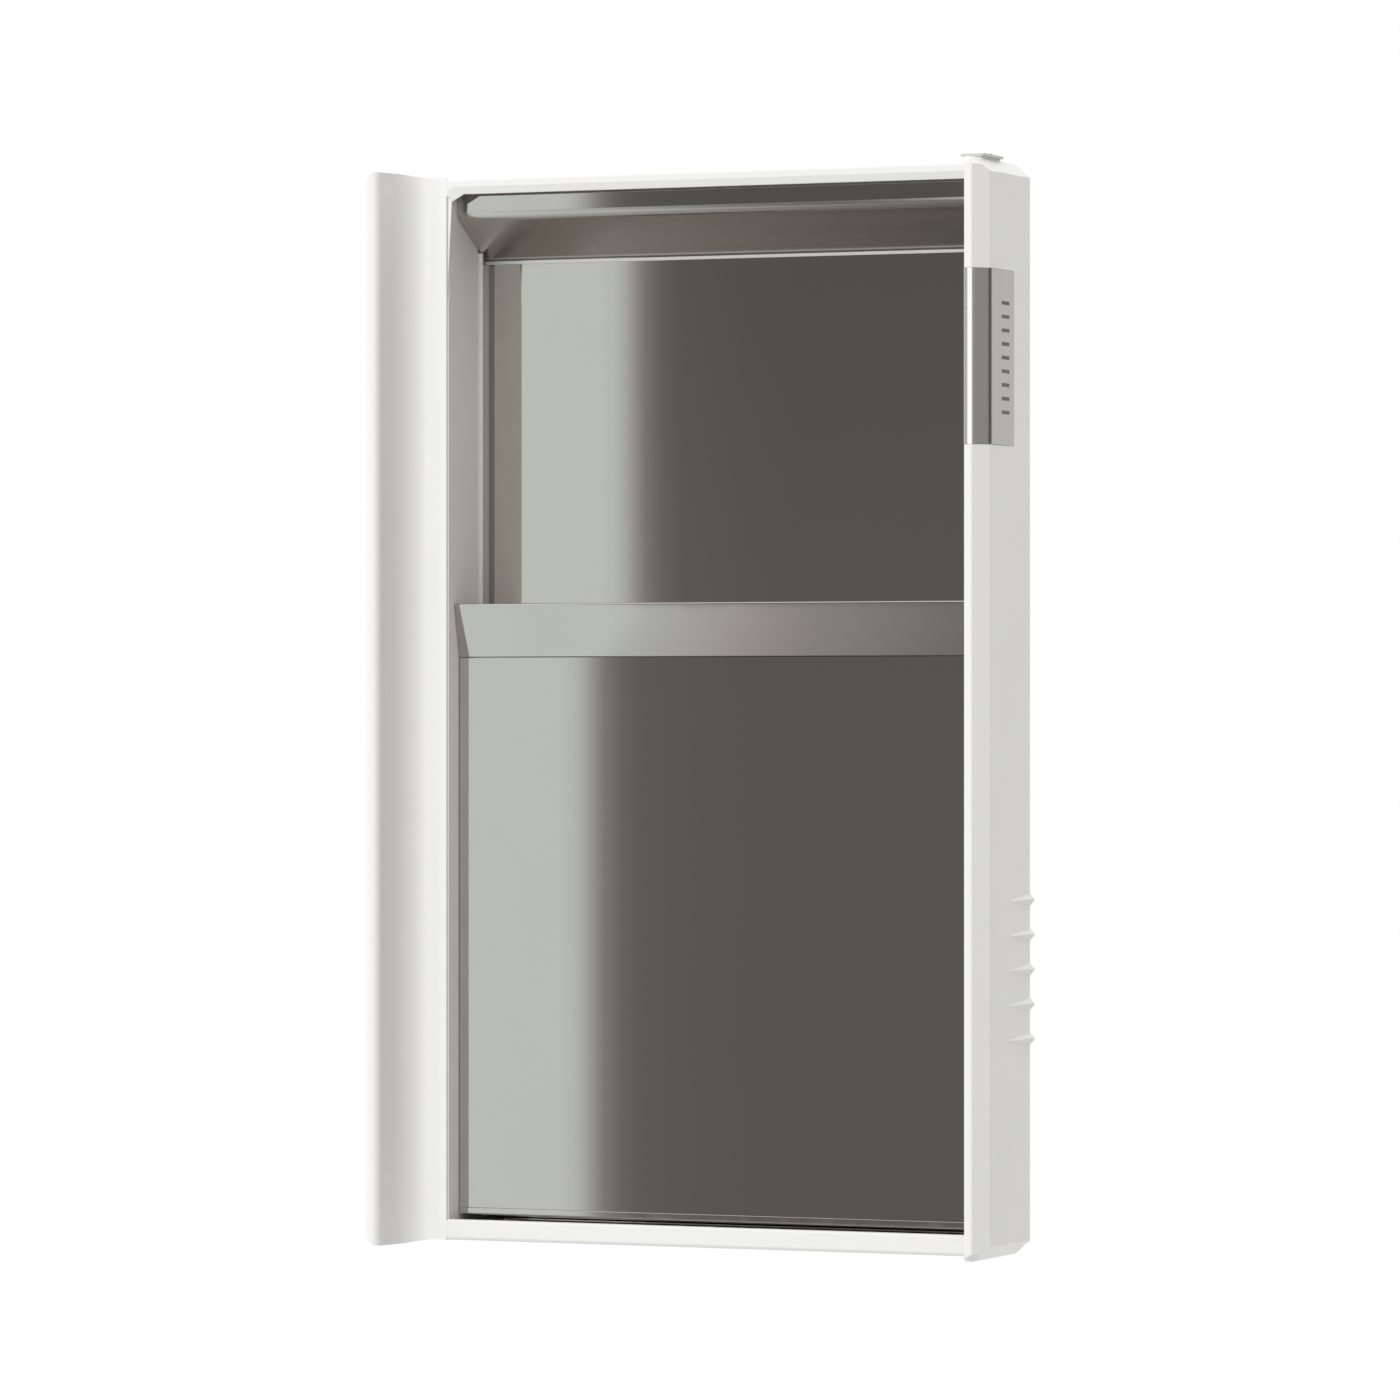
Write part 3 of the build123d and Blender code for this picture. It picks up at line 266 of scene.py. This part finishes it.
def glow_by(tree, source, output, stops):
    """Emission whose brightness follows a value through (value, brightness) stops."""
    first, last = stops[0][0], stops[-1][0]
    place = to_range(tree, source, output, 0.0, 1.0, first, last)
    colors = []
    for value, level in stops:
        tone = WHITE_GLOW if level > 0.6 else DARK_GLOW
        colors.append(((value - first) / (last - first), tuple(level * c for c in tone)))
    tint = ramp(tree, place, "Result", colors)
    glow = add(tree, "ShaderNodeEmission")
    wire(tree, tint, "Color", glow, "Color")
    return glow


def glowing_material(name):
    """Empty material with its object coordinates split, ready for an emission."""
    material = bpy.data.materials.new(name)
    material.use_nodes = True
    tree = material.node_tree
    tree.nodes.clear()
    where = add(tree, "ShaderNodeTexCoord")
    split = add(tree, "ShaderNodeSeparateXYZ")
    wire(tree, where, "Object", split, "Vector")
    return material, tree, split


def only_reflected(sheet):
    """Leave the sheet to mirror reflections alone."""
    sheet.visible_camera = False
    sheet.visible_diffuse = False
    sheet.visible_shadow = False
    sheet.visible_transmission = False


def reflected_card():
    """Glowing card seen only in the mirrors: painted reflection of the studio's dark and light sides. The dark
    side deepens upwards.
    """
    material, tree, split = glowing_material("painted_reflection_card")
    glow = glow_by(tree, split, "X", CARD_EDGE)
    shade = to_range(tree, split, "X", 0.0, 1.0, CARD_EDGE[2][0], CARD_EDGE[5][0])
    height = to_range(tree, split, "Z", 0.0, DARK_TOP_LOSS, MIDDLE_Z, MIDDLE_Z + 0.4)
    dim = add(tree, "ShaderNodeMath", operation="MULTIPLY_ADD")
    wire(tree, shade, "Result", dim, 0)
    wire(tree, height, "Result", dim, 1)
    dim.inputs[2].default_value = 1.0
    wire(tree, dim, "Value", glow, "Strength")
    output = add(tree, "ShaderNodeOutputMaterial")
    wire(tree, glow, "Emission", output, "Surface")
    across = ((CARD_RIGHT_X - CARD_LEFT_X) / 2, 0, 0)
    up = (0, 0, (CARD_TOP - CARD_FOOT) / 2)
    middle = ((CARD_LEFT_X + CARD_RIGHT_X) / 2, CARD_Y, (CARD_TOP + CARD_FOOT) / 2)
    only_reflected(stage_plane("painted_reflection_card", middle, across, up, material))


def reflected_ground():
    """Glowing sheet seen only in the mirrors: painted reflection of the studio's ground, bright on the left
    and front and grey towards the right and the wall.
    """
    material, tree, split = glowing_material("painted_reflection_ground")
    slant = add(tree, "ShaderNodeMath", operation="MULTIPLY_ADD")
    wire(tree, split, "Y", slant, 0)
    slant.inputs[1].default_value = GROUND_SLANT
    wire(tree, split, "X", slant, 2)
    glow = glow_by(tree, slant, "Value", GROUND_FADE)
    output = add(tree, "ShaderNodeOutputMaterial")
    wire(tree, glow, "Emission", output, "Surface")
    only_reflected(stage_plane("painted_reflection_ground", (0, -1.5, GROUND_Z), (2.5, 0, 0), (0, 1.45, 0), material))


# brightness of the surround by compass angle in degrees: 0 is the front, 90 the right, 180 behind
SURROUND = [
    (-180, 1.0), (-42, 1.0), (-32, 1.45), (-8, 1.45), (0, 2.4), (24, 2.2), (36, 0.55), (66, 0.44), (92, 0.12),
    (120, 0.14), (150, 0.62), (180, 1.0),
]
# the same for light on matt surfaces, which also comes from above and below
SOFT_AROUND = [
    (-180, 0.65), (-95, 0.42), (-60, 0.50), (-30, 0.86), (0, 0.60), (35, 0.36), (60, 0.22), (85, 0.24),
    (115, 0.62), (150, 0.76), (180, 0.65),
]
SOFT_BELOW, SOFT_ABOVE = 0.95, 1.8
HORIZON_BLEND = 0.4  # height of the direction at which the change between the two is complete
SOFT_TINT = (1.008, 1.0, 0.975, 1)


def studio_world():
    """White surround. Polished metal sees its dark right side; matt surfaces get less light from there."""
    world = bpy.data.worlds.new("studio_world")
    bpy.context.scene.world = world
    world.use_nodes = True
    tree = world.node_tree
    tree.nodes.clear()
    where = add(tree, "ShaderNodeTexCoord")
    split = add(tree, "ShaderNodeSeparateXYZ")
    wire(tree, where, "Generated", split, "Vector")

    ahead = add(tree, "ShaderNodeMath", operation="MULTIPLY")
    wire(tree, split, "Y", ahead, 0)
    ahead.inputs[1].default_value = -1.0
    angle = add(tree, "ShaderNodeMath", operation="ARCTAN2")
    wire(tree, split, "X", angle, 0)
    wire(tree, ahead, "Value", angle, 1)
    turn = to_range(tree, angle, "Value", 0.0, 1.0, -math.pi, math.pi)
    seen, around = (
        ramp(tree, turn, "Result", [((degrees + 180) / 360, grey(level)) for degrees, level in stops])
        for stops in (SURROUND, SOFT_AROUND)
    )
    steep = add(tree, "ShaderNodeMath", operation="ABSOLUTE")
    wire(tree, split, "Z", steep, 0)
    soft_light = add(tree, "ShaderNodeMix", data_type="FLOAT")
    poles = to_range(tree, split, "Z", SOFT_BELOW, SOFT_ABOVE, -HORIZON_BLEND, HORIZON_BLEND)
    wire(tree, poles, "Result", soft_light, "B")
    wire(tree, steep, "Value", soft_light, "Factor")
    wire(tree, around, "Color", soft_light, "A")

    path = add(tree, "ShaderNodeLightPath")
    white = add(tree, "ShaderNodeMix", data_type="FLOAT")
    white.inputs["A"].default_value = 1.0
    wire(tree, path, "Is Glossy Ray", white, "Factor")
    wire(tree, seen, "Color", white, "B")
    level = add(tree, "ShaderNodeMix", data_type="FLOAT")
    wire(tree, path, "Is Diffuse Ray", level, "Factor")
    wire(tree, white, "Result", level, "A")
    wire(tree, soft_light, "Result", level, "B")
    background = add(tree, "ShaderNodeBackground")
    tint = add(tree, "ShaderNodeMix", data_type="RGBA")
    tint.inputs[6].default_value = (1, 1, 1, 1)  # sockets 6 and 7 are the colours A and B, output 2 the result
    tint.inputs[7].default_value = SOFT_TINT
    wire(tree, path, "Is Diffuse Ray", tint, 0)
    wire(tree, tint, 2, background, "Color")
    wire(tree, level, "Result", background, "Strength")
    output = add(tree, "ShaderNodeOutputWorld")
    wire(tree, background, "Background", output, "Surface")


# soft box to the upper left of the camera, in metres and watts
FRONT_LIGHT_PLACE = (-1.5, -3.85, MIDDLE_Z + 0.7)
FRONT_LIGHT_SIZE = (1.6, 2.6)
FRONT_LIGHT_POWER = 66.0


def area_light(name, place, aim, size, power):
    """Rectangular soft box, invisible itself and in the mirrors."""
    data = bpy.data.lights.new(name, "AREA")
    data.shape = "RECTANGLE"
    data.size, data.size_y = size
    data.energy = power
    light = bpy.data.objects.new(name, data)
    bpy.context.scene.collection.objects.link(light)
    light.location = place
    light.rotation_mode = "QUATERNION"
    light.rotation_quaternion = (Vector(aim) - Vector(place)).to_track_quat("-Z", "Y")
    light.visible_camera = False
    light.visible_glossy = False


CAMERA_AZIMUTH = math.radians(23.5)
CAMERA_DISTANCE = 4.3717  # metres from the aim
CAMERA_LENS, CAMERA_SENSOR = 185.04, 36.0  # mm
CAMERA_SHIFT_Y = 0.0064
CAMERA_AIM = Vector((0.0106, RAIL_FRONT, MIDDLE_Z))


def photo_camera():
    """Level camera to the front right, at the distance and with the long lens of the photograph."""
    data = bpy.data.cameras.new("camera")
    data.lens = CAMERA_LENS
    data.sensor_width = CAMERA_SENSOR
    data.shift_y = CAMERA_SHIFT_Y
    data.clip_end = 50.0
    camera = bpy.data.objects.new("camera", data)
    bpy.context.scene.collection.objects.link(camera)
    away = Vector((math.sin(CAMERA_AZIMUTH), -math.cos(CAMERA_AZIMUTH), 0))
    camera.location = CAMERA_AIM + CAMERA_DISTANCE * away
    camera.rotation_euler = (math.pi / 2, 0, CAMERA_AZIMUTH)
    bpy.context.scene.camera = camera


floor()
reflected_card()
reflected_ground()
studio_world()
area_light("front_light", FRONT_LIGHT_PLACE, (0, 0, MIDDLE_Z), FRONT_LIGHT_SIZE, FRONT_LIGHT_POWER)
photo_camera()

bpy.context.scene.view_settings.view_transform = "Standard"
